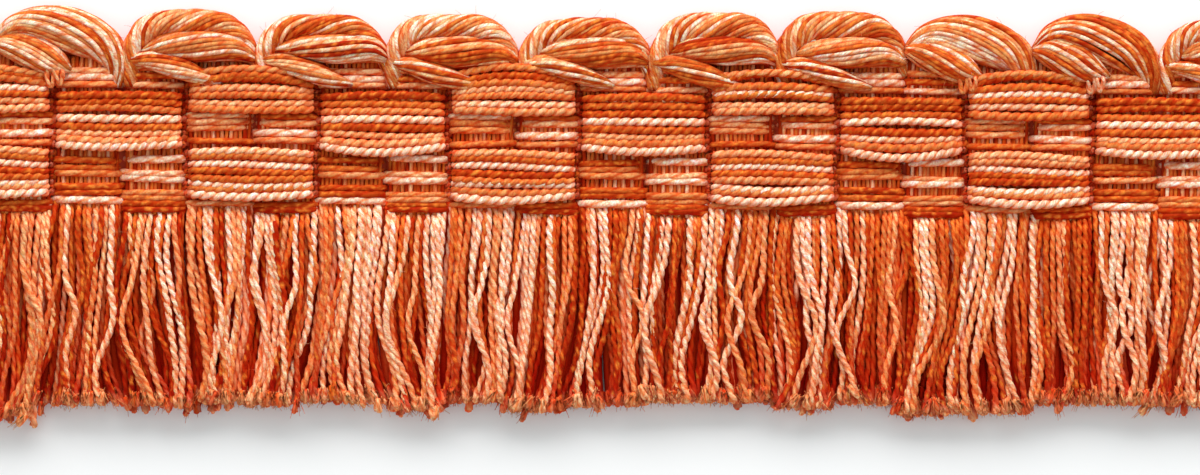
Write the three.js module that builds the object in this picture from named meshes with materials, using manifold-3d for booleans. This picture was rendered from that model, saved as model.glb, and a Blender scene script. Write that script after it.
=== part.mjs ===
// A cut length of brush fringe trim, lying flat on its back.
// Millimetres, +Z up. X runs along the trim, +Y points to the twisted scallops
// and -Y to the cut ends of the fringe. The back of every piece is at z = 0.

import * as THREE from "three";
import { mergeVertices } from "three/addons/utils/BufferGeometryUtils.js";
import Module from "manifold-3d";

const wasm = await Module();
wasm.setup();

// Length: a scallop stands over each boundary between two pairs of ribs.
const SCALLOPS = 11;
const PITCH = 16.25; // one pair of ribs, and one scallop
const LEFT_RIB = 8.5; // the left rib of a pair is a little the wider one
const LENGTH = SCALLOPS * PITCH;
const FIRST_PAIR = -LENGTH / 2 - LEFT_RIB; // x of the pair that the left cut end splits
const DRIFT = 0.75; // how far the weave has crept along, more in the middle than at the ends
const DRIFT_SPAN = 130; // half of the long wave that the creep follows

// Levels above and below the seam between the heading and the fringe.
const HEADING_HEIGHT = 18.5;
const HEADING_DIP = 1.6; // the heading's top edge is lower between two pairs
const GAP = 0.3; // between two pieces

// Thicknesses.
const GROOVE_Z = 2.9; // heading, in the grooves round the floats
const SHORT_RISE = 1.0; // floats that span one rib
const LONG_RISE = 1.6; // floats that span both ribs of a pair
const PLY_MIDDLE = 2.9; // height of the middle of a scallop's plies
const CORE_THICK = 3.2; // the folded yarns behind a scallop's plies

// Bands of floats up a pair of ribs, from the seam. The two weaves take turns.
const BANDS = {
  middle: [
    { from: 0, to: 7.4, span: "rib" },
    { from: 7.4, to: 15.2, span: "pair" },
    { from: 15.2, to: HEADING_HEIGHT, span: "rib" },
  ],
  outer: [
    { from: 0, to: 1.1, span: "rib" },
    { from: 1.1, to: 8.4, span: "pair" },
    { from: 8.4, to: 12.1, span: "rib" },
    { from: 12.1, to: HEADING_HEIGHT, span: "pair" },
  ],
};
const BAND_SHOULDER = 0.55; // a band is at full height this far inside its edge

// Scallops from left to right: level of the crest, its place between the two
// valleys, level of the valley on the left, and the way the plies turn.
const SCALLOP_ROWS = [
  { crest: 25.3, place: 0.55, valley: 22.4, turn: "rope" },
  { crest: 26.2, place: 0.66, valley: 22.5, turn: "leaf" },
  { crest: 25.4, place: 0.45, valley: 22.8, turn: "rope" },
  { crest: 25.9, place: 0.5, valley: 22.5, turn: "rope" },
  { crest: 25.1, place: 0.55, valley: 22.8, turn: "rope" },
  { crest: 25.4, place: 0.65, valley: 22.1, turn: "rope" },
  { crest: 25.7, place: 0.48, valley: 22.5, turn: "rope" },
  { crest: 25.8, place: 0.68, valley: 23.0, turn: "rope" },
  { crest: 25.9, place: 0.62, valley: 22.2, turn: "leaf" },
  { crest: 25.9, place: 0.6, valley: 21.6, turn: "leaf" },
  { crest: 25.9, place: 0.55, valley: 21.8, turn: "rope" },
];
const LAST_VALLEY = 22.4;

// Plies of a scallop. Each point is a share of the scallop's width, a share of
// the height from PLY_FOOT to the crest, and the half width and half thickness.
const PLY_FOOT = 16.6;
const PLIES = {
  rope: [
    [
      { across: 0.03, up: 0.05, half: 1.6, thick: 1.4 },
      { across: 0.13, up: 0.46, half: 2.1, thick: 2.0 },
      { across: 0.4, up: 0.76, half: 2.0, thick: 2.2 },
      { across: 0.72, up: 0.76, half: 1.8, thick: 2.0 },
      { across: 0.98, up: 0.36, half: 0.9, thick: 1.3 },
    ],
    [
      { across: 0.24, up: 0.3, half: 0.7, thick: 1.2 },
      { across: 0.48, up: 0.5, half: 1.9, thick: 2.3 },
      { across: 0.76, up: 0.42, half: 1.9, thick: 2.3 },
      { across: 1.0, up: 0.1, half: 0.8, thick: 1.3 },
    ],
    [
      { across: 0.12, up: 0.22, half: 0.7, thick: 1.2 },
      { across: 0.36, up: 0.22, half: 1.5, thick: 2.2 },
      { across: 0.6, up: 0.06, half: 1.3, thick: 2.0 },
      { across: 0.8, up: -0.06, half: 0.6, thick: 1.0 },
    ],
  ],
  leaf: [
    [
      { across: 0.06, up: 0.42, half: 1.0, thick: 1.3 },
      { across: 0.34, up: 0.62, half: 2.3, thick: 2.3 },
      { across: 0.66, up: 0.62, half: 3.0, thick: 2.5 },
      { across: 0.9, up: 0.34, half: 2.2, thick: 2.1 },
      { across: 0.98, up: 0.02, half: 1.0, thick: 1.3 },
    ],
    [
      { across: 0.02, up: 0.34, half: 0.9, thick: 1.2 },
      { across: 0.22, up: 0.26, half: 1.9, thick: 2.3 },
      { across: 0.42, up: 0.1, half: 1.8, thick: 2.3 },
      { across: 0.56, up: -0.02, half: 0.8, thick: 1.3 },
    ],
  ],
};
const PLY_RINGS = 6;
const PLY_SIDES = 6;

// Fringe: its length under each rib, from left to right.
const FRINGE_LENGTHS = [
  25.5, 26.1, 26.3, 24.8, 24.9, 24.4, 24.7, 24.3, 25.2, 24.1, 25.2,
  24.5, 23.9, 23.9, 24.6, 24.0, 25.3, 25.1, 23.9, 23.8, 23.9, 24.1,
];
const STRIP_DEEP = 1.7; // along Y
const STRIP_BOTTOM = 0.25;
const STRIP_TOP = 3.75;
// The two layers of locks, from the surface up.
const LAYERS = [
  { count: 4, low: 0, high: 1.45, root: 0.55, width: 1.5, shorter: 0.3 },
  { count: 5, low: 1.8, high: 3.3, root: 2.05, width: 1.16, shorter: 0 },
];
const LOCK_RINGS = 4;
const LOCK_CREST = 0.55; // the width of a lock's top against its foot
const TIP_WIDTH = 0.9; // the width of a lock's cut end against its root
const ROOT_SPREAD = 0.86; // the share of a rib's width that its locks leave from
const TIP_SPREAD = 0.97;
const SWAY = 0.85; // how far the locks lean over at their cut ends
const SWAY_WAVE = 29; // from one lean to the next like it
const LENGTH_JITTER = [0, 0.55, 0.2, 0.75, 0.35];

const COLOURS = { heading: 0xd2691e, loops: 0xe07b45, fringe: 0xc4511d };

// Moves a place in the even weave to where the weave has crept. The ends stay put.
function crept(x) {
  const wave = (place) => Math.cos((Math.PI * place) / DRIFT_SPAN);
  return x + DRIFT * (wave(x) - wave(LENGTH / 2));
}

// The ribs in order, with the pair that each belongs to.
function ribs() {
  const list = [];
  for (let pair = 0; pair <= SCALLOPS; pair += 1) {
    const start = FIRST_PAIR + pair * PITCH;
    const middle = start + LEFT_RIB;
    const weave = pair % 2 === 0 ? "middle" : "outer";
    if (pair > 0) list.push({ from: start, to: middle, pair: start, weave });
    if (pair < SCALLOPS) list.push({ from: middle, to: start + PITCH, pair: start, weave });
  }
  return list;
}

// How full a rounded form is at a share of its width: 0 at the edges, 1 inside.
function fullness(share, power) {
  const side = Math.abs(2 * share - 1);
  return Math.max(0, 1 - side ** power);
}

// The heading's top edge over a place in the even weave.
function headingTop(x) {
  const share = (((x - FIRST_PAIR) % PITCH) + PITCH) % PITCH / PITCH;
  return HEADING_HEIGHT - HEADING_DIP * (1 - Math.sin(Math.PI * share) ** 0.7);
}

function headingThickness(rib, x, level) {
  const bands = BANDS[rib.weave];
  const band = bands.find((b) => level <= b.to) ?? bands[bands.length - 1];
  const inside = Math.min(level - band.from, band.to - level) / BAND_SHOULDER;
  const round = Math.sin((Math.PI / 2) * Math.min(1, Math.max(0, inside)));
  const share = band.span === "pair" ? (x - rib.pair) / PITCH : (x - rib.from) / (rib.to - rib.from);
  const rise = band.span === "pair" ? LONG_RISE : SHORT_RISE;
  return GROOVE_Z + rise * round * fullness(share, 4);
}

// Levels of the rows of points up the heading: each band's edges and shoulders.
function headingLevels() {
  const edges = [...BANDS.middle, ...BANDS.outer].flatMap((band) => [band.from, band.to]);
  const levels = new Set(edges);
  for (const band of [...BANDS.middle, ...BANDS.outer]) {
    const middle = (band.from + band.to) / 2;
    levels.add(Math.min(band.from + BAND_SHOULDER, middle));
    levels.add(Math.max(band.to - BAND_SHOULDER, middle));
    levels.add(middle);
  }
  const sorted = [...levels].sort((a, b) => a - b);
  return sorted.filter((level, i) => i === 0 || level - sorted[i - 1] > 0.2);
}

// The woven heading: a flat back, and a face raised into ribs and floats.
function headingGeometry() {
  const levels = headingLevels();
  const columns = [];
  for (const rib of ribs()) {
    for (const share of [0, 0.16, 0.5, 0.84]) {
      columns.push({ rib, x: rib.from + share * (rib.to - rib.from) });
    }
  }
  const last = ribs().at(-1);
  columns.push({ rib: last, x: last.to });
  const points = [];
  for (const { rib, x } of columns) {
    const lift = headingTop(x) - HEADING_HEIGHT;
    for (const level of levels) {
      const y = level + lift * (level / HEADING_HEIGHT) ** 2;
      points.push(crept(x), y, headingThickness(rib, x, level));
    }
  }
  const rows = levels.length;
  const front = (column, row) => column * rows + row;
  const backStart = points.length / 3;
  for (const { x } of columns) {
    points.push(crept(x), 0, 0);
    points.push(crept(x), headingTop(x), 0);
  }
  const back = (column, edge) => backStart + column * 2 + edge;
  const faces = [];
  for (let c = 0; c + 1 < columns.length; c += 1) {
    for (let r = 0; r + 1 < rows; r += 1) {
      faces.push(front(c, r), front(c + 1, r), front(c + 1, r + 1));
      faces.push(front(c, r), front(c + 1, r + 1), front(c, r + 1));
    }
    faces.push(back(c, 0), back(c + 1, 1), back(c + 1, 0), back(c, 0), back(c, 1), back(c + 1, 1));
    faces.push(back(c, 0), back(c + 1, 0), front(c + 1, 0), back(c, 0), front(c + 1, 0), front(c, 0));
    const top = rows - 1;
    faces.push(back(c + 1, 1), back(c, 1), front(c, top), back(c + 1, 1), front(c, top), front(c + 1, top));
  }
  const end = columns.length - 1;
  for (let r = 0; r + 1 < rows; r += 1) {
    faces.push(back(0, 0), front(0, r), front(0, r + 1));
    faces.push(back(end, 0), front(end, r + 1), front(end, r));
  }
  faces.push(back(0, 0), front(0, rows - 1), back(0, 1));
  faces.push(back(end, 0), back(end, 1), front(end, rows - 1));
  return indexed(points, faces);
}

function indexed(points, faces) {
  const geometry = new THREE.BufferGeometry();
  geometry.setAttribute("position", new THREE.Float32BufferAttribute(points, 3));
  geometry.setIndex(faces);
  return geometry;
}

// Turns a closed geometry into a solid that can be joined and cut.
function solidOf(geometry) {
  const bare = geometry.clone();
  bare.deleteAttribute("normal");
  bare.deleteAttribute("uv");
  const merged = mergeVertices(bare, 1e-4);
  const mesh = new wasm.Mesh({
    numProp: 3,
    vertProperties: Float32Array.from(merged.attributes.position.array),
    triVerts: Uint32Array.from(merged.index.array),
  });
  return new wasm.Manifold(mesh);
}

function geometryOf(solid) {
  const mesh = solid.getMesh();
  return indexed(Array.from(mesh.vertProperties), Array.from(mesh.triVerts));
}

// Joins rings of points, each with the same number of corners, into a closed form.
// The rings follow one another along the form, and turn the right way about it.
function loft(rings) {
  const sides = rings[0].length;
  const points = rings.flat().flatMap((point) => point.toArray());
  const faces = [];
  for (let r = 0; r + 1 < rings.length; r += 1) {
    for (let s = 0; s < sides; s += 1) {
      const next = (s + 1) % sides;
      const a = r * sides + s;
      const b = r * sides + next;
      faces.push(a, b, b + sides, a, b + sides, a + sides);
    }
  }
  const lastRing = (rings.length - 1) * sides;
  for (let s = 1; s + 1 < sides; s += 1) {
    faces.push(0, s + 1, s);
    faces.push(lastRing, lastRing + s, lastRing + s + 1);
  }
  return indexed(points, faces);
}

// One ply of a scallop: an oval rope that swells along its way.
function plyGeometry(row, left, right) {
  const centres = row.points.map(
    (p) => new THREE.Vector3(left + p.across * (right - left), PLY_FOOT + p.up * (row.crest - PLY_FOOT), PLY_MIDDLE),
  );
  const route = new THREE.CatmullRomCurve3(centres);
  const rings = [];
  for (let r = 0; r < PLY_RINGS; r += 1) {
    const share = r / (PLY_RINGS - 1);
    const centre = route.getPoint(share);
    const along = route.getTangent(share);
    const sideways = new THREE.Vector3(0, 0, 1).cross(along).normalize();
    const place = share * (row.points.length - 1);
    const index = Math.min(Math.floor(place), row.points.length - 2);
    const half = THREE.MathUtils.lerp(row.points[index].half, row.points[index + 1].half, place - index);
    const thick = THREE.MathUtils.lerp(row.points[index].thick, row.points[index + 1].thick, place - index);
    const ring = [];
    for (let s = 0; s < PLY_SIDES; s += 1) {
      const angle = (2 * Math.PI * s) / PLY_SIDES;
      const corner = centre.clone().addScaledVector(sideways, half * Math.cos(angle));
      corner.z += thick * Math.sin(angle);
      ring.push(corner);
    }
    rings.push(ring);
  }
  return loft(rings);
}

// The yarns folded over behind a scallop's plies, as one flat dome.
function coreGeometry(row, left, right) {
  const outline = new THREE.Shape();
  const crestX = left + row.place * (right - left);
  const under = row.crest - 1.1;
  outline.moveTo(left + 0.1, 15);
  outline.lineTo(right - 0.1, 15);
  outline.lineTo(right - 0.1, row.nextValley - 1.6);
  outline.lineTo((crestX + right) / 2, (under + row.nextValley) / 2 + 0.5);
  outline.lineTo(crestX, under);
  outline.lineTo((crestX + left) / 2, (under + row.valley) / 2 + 0.5);
  outline.lineTo(left + 0.1, row.valley - 1.6);
  outline.closePath();
  return new THREE.ExtrudeGeometry(outline, { depth: CORE_THICK, bevelEnabled: false });
}

// The room that a scallop may fill: clear of its neighbours and of the heading.
function roomGeometry(left, right) {
  const steps = 8;
  const outline = new THREE.Shape();
  const low = left + GAP / 2;
  const high = right - GAP / 2;
  outline.moveTo(crept(high), 30);
  outline.lineTo(crept(low), 30);
  for (let s = 0; s <= steps; s += 1) {
    const x = low + (s / steps) * (high - low);
    outline.lineTo(crept(x), headingTop(x) + GAP);
  }
  outline.closePath();
  return new THREE.ExtrudeGeometry(outline, { depth: 8, bevelEnabled: false });
}

function scallopGeometry(index) {
  const row = SCALLOP_ROWS[index];
  const left = -LENGTH / 2 + index * PITCH;
  const right = left + PITCH;
  const shape = { ...row, nextValley: SCALLOP_ROWS[index + 1]?.valley ?? LAST_VALLEY };
  let solid = solidOf(coreGeometry(shape, crept(left), crept(right)));
  for (const points of PLIES[row.turn]) {
    solid = solid.add(solidOf(plyGeometry({ ...shape, points }, crept(left), crept(right))));
  }
  return geometryOf(solid.intersect(solidOf(roomGeometry(left, right))));
}

// How far a lock that leaves the seam at x has leant over, at a share of its length.
function lean(x, share) {
  return SWAY * share ** 2 * Math.sin((2 * Math.PI * x) / SWAY_WAVE) + 0.25 * Math.sin(x + 5 * share);
}

// One lock of fringe: four sides, flat underneath, narrower on top.
function lockGeometry(rib, layer, number, length) {
  const width = rib.to - rib.from;
  const middle = crept((rib.from + rib.to) / 2);
  const step = (number - (layer.count - 1) / 2) / layer.count;
  const rings = [];
  for (let r = 0; r < LOCK_RINGS; r += 1) {
    const share = r / (LOCK_RINGS - 1);
    const spread = THREE.MathUtils.lerp(ROOT_SPREAD, TIP_SPREAD, share);
    const x = middle + step * width * spread + lean(middle, share) * Math.sign(share);
    const y = -GAP - STRIP_DEEP / 2 - share * (length - GAP - STRIP_DEEP / 2);
    const foot = (layer.width / 2) * THREE.MathUtils.lerp(1, TIP_WIDTH, share);
    const low = r === 0 ? layer.root : layer.low;
    const crest = foot * LOCK_CREST;
    rings.push([
      new THREE.Vector3(x + foot, y, low),
      new THREE.Vector3(x + crest, y, layer.high),
      new THREE.Vector3(x - crest, y, layer.high),
      new THREE.Vector3(x - foot, y, low),
    ]);
  }
  return loft(rings);
}

// The fringe: the yarns below the seam gathered into locks, held by a narrow strip.
function fringeGeometry() {
  const low = crept(-LENGTH / 2);
  const high = crept(LENGTH / 2);
  const strip = new THREE.BoxGeometry(high - low, STRIP_DEEP, STRIP_TOP - STRIP_BOTTOM);
  strip.translate((low + high) / 2, -GAP - STRIP_DEEP / 2, (STRIP_TOP + STRIP_BOTTOM) / 2);
  let solid = solidOf(strip);
  ribs().forEach((rib, place) => {
    LAYERS.forEach((layer) => {
      for (let number = 0; number < layer.count; number += 1) {
        const jitter = LENGTH_JITTER[(number * 3 + place * 2) % LENGTH_JITTER.length];
        const length = FRINGE_LENGTHS[place] - layer.shorter - jitter;
        solid = solid.add(solidOf(lockGeometry(rib, layer, number, length)));
      }
    });
  });
  return geometryOf(solid);
}

function piece(name, geometry, colour) {
  const material = new THREE.MeshStandardMaterial({ color: colour, roughness: 0.9, metalness: 0 });
  const mesh = new THREE.Mesh(geometry, material);
  mesh.name = name;
  return mesh;
}

const trim = new THREE.Group();
trim.add(piece("heading", headingGeometry(), COLOURS.heading));
for (let index = 0; index < SCALLOPS; index += 1) {
  const name = `loop_${String(index + 1).padStart(2, "0")}`;
  trim.add(piece(name, scallopGeometry(index), COLOURS.loops));
}
trim.add(piece("brush_fringe", fringeGeometry(), COLOURS.fringe));

// The origin is under the middle of the trim, on the surface that it lies on.
const size = new THREE.Box3().setFromObject(trim);
const centre = size.getCenter(new THREE.Vector3());
trim.position.set(-centre.x, -centre.y, 0);

export default trim;
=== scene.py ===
import math

import bpy
import numpy as np
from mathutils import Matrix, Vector


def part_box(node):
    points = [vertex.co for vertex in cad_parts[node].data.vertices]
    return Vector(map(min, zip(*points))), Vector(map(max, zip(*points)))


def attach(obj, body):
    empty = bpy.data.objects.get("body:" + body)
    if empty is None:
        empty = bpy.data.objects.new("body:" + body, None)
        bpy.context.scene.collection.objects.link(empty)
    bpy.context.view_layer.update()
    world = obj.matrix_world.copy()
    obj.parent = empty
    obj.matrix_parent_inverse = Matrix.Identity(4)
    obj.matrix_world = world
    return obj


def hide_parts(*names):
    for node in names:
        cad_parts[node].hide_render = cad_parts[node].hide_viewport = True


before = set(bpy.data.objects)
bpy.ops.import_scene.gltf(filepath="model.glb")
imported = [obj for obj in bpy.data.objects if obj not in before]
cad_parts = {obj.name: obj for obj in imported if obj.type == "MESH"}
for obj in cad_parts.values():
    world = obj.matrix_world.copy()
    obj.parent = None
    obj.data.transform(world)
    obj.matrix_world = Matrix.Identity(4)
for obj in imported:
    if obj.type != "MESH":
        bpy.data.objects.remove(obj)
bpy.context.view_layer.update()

bpy.ops.object.select_all(action="DESELECT")
scene = bpy.context.scene

# The picture: a length of brush fringe trim lies face up on a white table, and the camera looks
# straight down on it through a long lens. Sizes of the trim are in millimetres, and MM makes
# them metres where a piece is placed. The table, the light and the shaders are in metres.
MM = 0.001
PICTURE_WIDE = 150.0
PICTURE_ROWS, PICTURE_COLUMNS = 475, 1200
PIXEL = PICTURE_WIDE / PICTURE_COLUMNS
MIDDLE_COLUMN = 571.7  # pixel column of the middle of the length
SEAM_COLUMN, SEAM_ROW = 90, 212  # a pixel on the seam between the heading and the fringe
TILT = 0.0068  # rows that the trim comes down for each column to the right
FOCUS_Z = 3.5
LENS, SENSOR = 200.0, 36.0
heading_low, heading_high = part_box("heading")
SEAM = heading_low.y / MM
LENGTH = (heading_high.x - heading_low.x) / MM

camera_data = bpy.data.cameras.new("camera")
camera_data.lens = LENS
camera_data.sensor_width = SENSOR
camera = bpy.data.objects.new("camera", camera_data)
scene.collection.objects.link(camera)
seam_at_middle = SEAM_ROW + TILT * (PICTURE_COLUMNS / 2 - SEAM_COLUMN)
camera.location = (
    (PICTURE_COLUMNS / 2 - MIDDLE_COLUMN) * PIXEL * MM,
    (SEAM + (seam_at_middle - PICTURE_ROWS / 2) * PIXEL) * MM,
    (FOCUS_Z + PICTURE_WIDE * LENS / SENSOR) * MM,
)
camera.rotation_euler = (0, 0, math.atan(TILT))
scene.camera = camera

# The table: a plain white sheet, large enough for every view. It is matt, so it shows the soft
# shadow of the trim and no glare.
TABLE_SIDE = 6.0
TABLE_WHITE, TABLE_ROUGH = (0.9, 0.9, 0.9, 1), 0.9
bpy.ops.mesh.primitive_plane_add(size=TABLE_SIDE, location=(0, 0, 0))
table = bpy.context.object
table.name = "table"
white = bpy.data.materials.new("table_white")
white.use_nodes = True
white.node_tree.nodes["Principled BSDF"].inputs["Base Color"].default_value = TABLE_WHITE
white.node_tree.nodes["Principled BSDF"].inputs["Roughness"].default_value = TABLE_ROUGH
table.data.materials.append(white)

# The light: a wide soft box past the scalloped edge, which throws the soft shadow below the
# fringe, and an even room that fills it. The room is a little cool and the box a little warm,
# so that the shadow stays grey beside the red yarns.
ROOM_STRENGTH, ROOM_TINT = 0.7, (0.93, 1.0, 1.0, 1)
KEY_WATTS, KEY_TINT = 6.6, (1.0, 0.965, 0.965)
KEY_WIDE, KEY_DEEP = 1.1, 0.42
KEY_DISTANCE = 0.6
KEY_HEIGHT = math.radians(30)
world = bpy.data.worlds.new("room")
world.use_nodes = True
world.node_tree.nodes["Background"].inputs["Color"].default_value = ROOM_TINT
world.node_tree.nodes["Background"].inputs["Strength"].default_value = ROOM_STRENGTH
scene.world = world
key_data = bpy.data.lights.new("soft_box", "AREA")
key_data.shape = "RECTANGLE"
key_data.size = KEY_WIDE
key_data.size_y = KEY_DEEP
key_data.energy = KEY_WATTS
key_data.color = KEY_TINT
key = bpy.data.objects.new("soft_box", key_data)
scene.collection.objects.link(key)
key.location = (0, KEY_DISTANCE * math.cos(KEY_HEIGHT), KEY_DISTANCE * math.sin(KEY_HEIGHT))
key.rotation_euler = (-Vector(key.location)).to_track_quat("-Z", "Y").to_euler()
scene.view_settings.view_transform = "Standard"

# The weave: 22 ribs of weft in pairs. A long float spans a pair, a short one spans a rib, and
# the two weaves take turns along the trim. The trim is cut through the middle of a pair.
PITCH = 16.25
LEFT_RIB = 8.5
SCALLOPS = 11
FIRST_PAIR = -LENGTH / 2 - LEFT_RIB
HEADING_TALL = 18.5
HEADING_DIP, DIP_CURVE = 1.6, 0.7
CREEP, CREEP_SPAN = 0.75, 130.0
chance = np.random.default_rng(7)


def crept(x):
    """A place in the even weave, moved to where the weave has crept."""
    return x + CREEP * (np.cos(np.pi * x / CREEP_SPAN) - math.cos(math.pi * LENGTH / 2 / CREEP_SPAN))


def heading_top(x):
    """How tall the heading is: it arches over each pair of ribs."""
    share = ((x - FIRST_PAIR) % PITCH) / PITCH
    return HEADING_TALL - HEADING_DIP * (1 - np.sin(np.pi * share) ** DIP_CURVE)


ribs = []
for pair in range(SCALLOPS + 1):
    start = FIRST_PAIR + pair * PITCH
    weave = "middle" if pair % 2 == 0 else "outer"
    if pair > 0:
        ribs.append({"left": start, "right": start + LEFT_RIB, "side": "left", "weave": weave})
    if pair < SCALLOPS:
        ribs.append({"left": start + LEFT_RIB, "right": start + PITCH, "side": "right", "weave": weave})

# The yarns: every yarn of the trim is two dyed plies twisted together. One closed tube follows
# its path, with a groove between the plies that winds round it, and each ply keeps its own dye,
# which drifts a little along the yarn.
DYES = {
    "cream": (0.99, 0.89, 0.68),
    "peach": (0.91, 0.60, 0.31),
    "salmon": (0.78, 0.355, 0.12),
    "orange": (0.66, 0.20, 0.036),
    "rust": (0.54, 0.09, 0.009),
    "brick": (0.44, 0.035, 0.003),
}
DYE_ORDER = list(DYES)
PLY_START, PLY_DRIFT = (0.0, 0.35), 0.4  # how far each ply starts and drifts to the near dye
CREAM_DRIFT = 0.45  # the share of both that a cream yarn takes
DRIFT_POINTS = (3, 9)
PHASES = (0, 6)  # where a wave starts, in radians
YARN_LIGHT, CORNER_LIGHT = (0.9, 1.06), (0.54, 1.3)  # how uneven the dye is
UNEVEN = np.array((0.4, 1.0, 1.2))  # how strongly each colour follows the unevenness of a yarn
# Painted shade in the groove between the two plies: less green and blue, standing in for the shade in that
# crease.
PAINTED_GROOVE_SHADE = np.array((0.95, 0.42, 0.2))
GOLD, GOLD_MIX = np.array((0.92, 0.36, 0.05)), 0.65
FLECKS = 0.2  # share of the corners of a dark yarn that are flecked with gold
DARK_BLUE = 0.03  # a corner with less blue than this is dark
# Painted shade: the sides of a yarn that face away from the open side and the light are painted less green
# and blue and a little redder, standing in for shade and the red light that neighbouring yarns send back.
PAINTED_SIDE_SHADE = np.array((-0.12, 0.72, 0.93))  # how much less of each colour the sides send back
OPEN_SIDE = np.array((0.0, 0.3, 0.954))  # the way to the open side, up and towards the light
OPEN_REACH = 0.9
CAP_LONG = 0.4  # how far a yarn's end stands out, as a share of its radius
# For each number of sides: how far out each corner lies, and whether it is on the first ply,
# on the second ply or in the groove between them.
SECTIONS = {
    8: {"reach": (1.0, 0.92, 0.6, 0.92, 1.0, 0.92, 0.6, 0.92), "ply": (0, 0, 2, 1, 1, 1, 2, 0)},
    7: {"reach": (1.0, 0.72, 0.95, 0.68, 1.08, 0.75, 0.9), "ply": (0, 2, 1, 2, 0, 2, 1)},
    6: {"reach": (1.0, 1.0, 0.6, 1.0, 1.0, 0.6), "ply": (0, 0, 2, 1, 1, 2)},
    5: {"reach": (1.0, 1.0, 1.0, 1.0, 1.0), "ply": (0, 0, 1, 1, 2)},
    3: {"reach": (1.0, 1.0, 1.0), "ply": (0, 1, 1)},
}


def near_dye(dye):
    """The same dye, or the next paler or darker one."""
    place = DYE_ORDER.index(dye) + chance.choice((-1, 0, 1))
    return DYE_ORDER[min(max(place, 0), len(DYE_ORDER) - 1)]


def ply_tones(dye, count):
    """The colours of a yarn's two plies at each point, drifting towards a near dye and back."""
    tones = np.empty((count, 2, 3))
    other = near_dye(dye)
    for ply, mix in enumerate(PLY_START):
        phase = np.linspace(0, count / chance.uniform(*DRIFT_POINTS), count) + chance.uniform(*PHASES)
        swing = 0.5 + 0.5 * np.sin(phase)
        swing = (mix + PLY_DRIFT * swing[:, None]) * (CREAM_DRIFT if dye == "cream" else 1.0)
        tones[:, ply] = np.array(DYES[dye]) * (1 - swing) + np.array(DYES[other]) * swing
    return tones * chance.uniform(*YARN_LIGHT)


def spun(path, radius, turn, tones, sides=6, soft=0.0, painted_bleed=1.0, flecks=FLECKS):
    """One yarn along a path, as points, faces, colours and the length at each ring. A soft yarn has shallow
    grooves. Its sides get painted shade, less green and blue, and a painted red glow that stands in for the
    light of its neighbours, as strongly as the given painted side shade strength says."""
    path = np.asarray(path, float)
    count = len(path)
    along = np.gradient(path, axis=0)
    along /= np.linalg.norm(along, axis=1)[:, None]
    across = np.cross((0.0, 0.0, 1.0), along)
    across /= np.maximum(np.linalg.norm(across, axis=1), 1e-6)[:, None]
    lift = np.cross(along, across)
    run = np.concatenate([[0.0], np.cumsum(np.linalg.norm(np.diff(path, axis=0), axis=1))])
    angle = chance.uniform(0, 2 * np.pi) - 2 * np.pi * run[:, None] / turn
    angle = angle + 2 * np.pi * np.arange(sides)[None, :] / sides
    reach = 1 - (1 - soft) * (1 - np.array(SECTIONS[sides]["reach"]))
    reach = np.broadcast_to(radius, (count,))[:, None] * reach
    outward = np.cos(angle)[:, :, None] * across[:, None, :] + np.sin(angle)[:, :, None] * lift[:, None, :]
    ring = path[:, None, :] + reach[:, :, None] * outward
    cap = reach[[0, -1], 0] * CAP_LONG
    ends = np.array([path[0] - along[0] * cap[0], path[-1] + along[-1] * cap[1]])
    # The groove corners take the painted groove shade.
    groove = tones.mean(axis=1, keepdims=True) * PAINTED_GROOVE_SHADE
    colour = np.concatenate([tones, groove], axis=1)[:, list(SECTIONS[sides]["ply"]), :]
    colour = colour * chance.uniform(*CORNER_LIGHT, (count, sides, 1)) ** UNEVEN
    fleck = (chance.random((count, sides, 1)) < flecks) & (colour[:, :, 2:] < DARK_BLUE)
    colour = np.where(fleck, (1 - GOLD_MIX) * colour + GOLD_MIX * GOLD, colour)
    # Painted shade and painted red bounce light on the sides of the yarn.
    closed = np.clip(1 - outward @ OPEN_SIDE / OPEN_REACH, 0, 1)[:, :, None]
    colour = colour * (1 - painted_bleed * PAINTED_SIDE_SHADE * closed)
    row = np.arange(count - 1)[:, None] * sides
    side = np.arange(sides)
    after = (side + 1) % sides
    quads = np.stack([row + side, row + after, row + sides + after, row + sides + side], axis=-1)
    last = (count - 1) * sides
    low_cap = np.stack([after, side, np.full(sides, count * sides)], axis=-1)
    high_cap = np.stack([last + side, last + after, np.full(sides, count * sides + 1)], axis=-1)
    return {
        "points": np.concatenate([ring.reshape(-1, 3), ends]),
        "outward": outward.reshape(-1, 3),
        "colours": np.clip(np.concatenate([colour.reshape(-1, 3), colour[[0, -1]].mean(axis=1)]), 0, 1),
        "quads": quads.reshape(-1, 4),
        "caps": np.concatenate([low_cap, high_cap]),
        "run": run,
        "sides": sides,
    }


CAP_MAP = 0.2  # how long a yarn's end is on the map
MAP_GAP = 0.8  # between two yarns on the map
MAP_SPREAD = 3.0  # how much wider than tall the map is
MAP_EDGE, MAP_FILL = 0.05, 0.9  # the share of a row that is left free, and that a yarn fills


def strip_places(yarn):
    """For each corner of a yarn's faces, how far along it lies and its share of the way round."""
    run, sides = yarn["run"], yarn["sides"]
    step = np.repeat(np.arange(len(run) - 1), sides)
    side = np.tile(np.arange(sides), len(run) - 1)
    low, high = run[step], run[step + 1]
    quad_along = np.stack([low, low, high, high], axis=-1)
    quad_round = np.stack([side, side + 1, side + 1, side], axis=-1) / sides
    ring = np.arange(sides)
    length = run[-1]
    cap_along = np.concatenate([
        np.tile((0.0, 0.0, -CAP_MAP), (sides, 1)),
        np.tile((length, length, length + CAP_MAP), (sides, 1)),
    ])
    near = np.stack([ring + 1, ring, ring + 0.5], axis=-1) / sides
    far = np.stack([ring, ring + 1, ring + 0.5], axis=-1) / sides
    cap_round = np.concatenate([near, far])
    return (
        np.concatenate([quad_along.ravel(), cap_along.ravel()]),
        np.concatenate([quad_round.ravel(), cap_round.ravel()]),
    )


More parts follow.
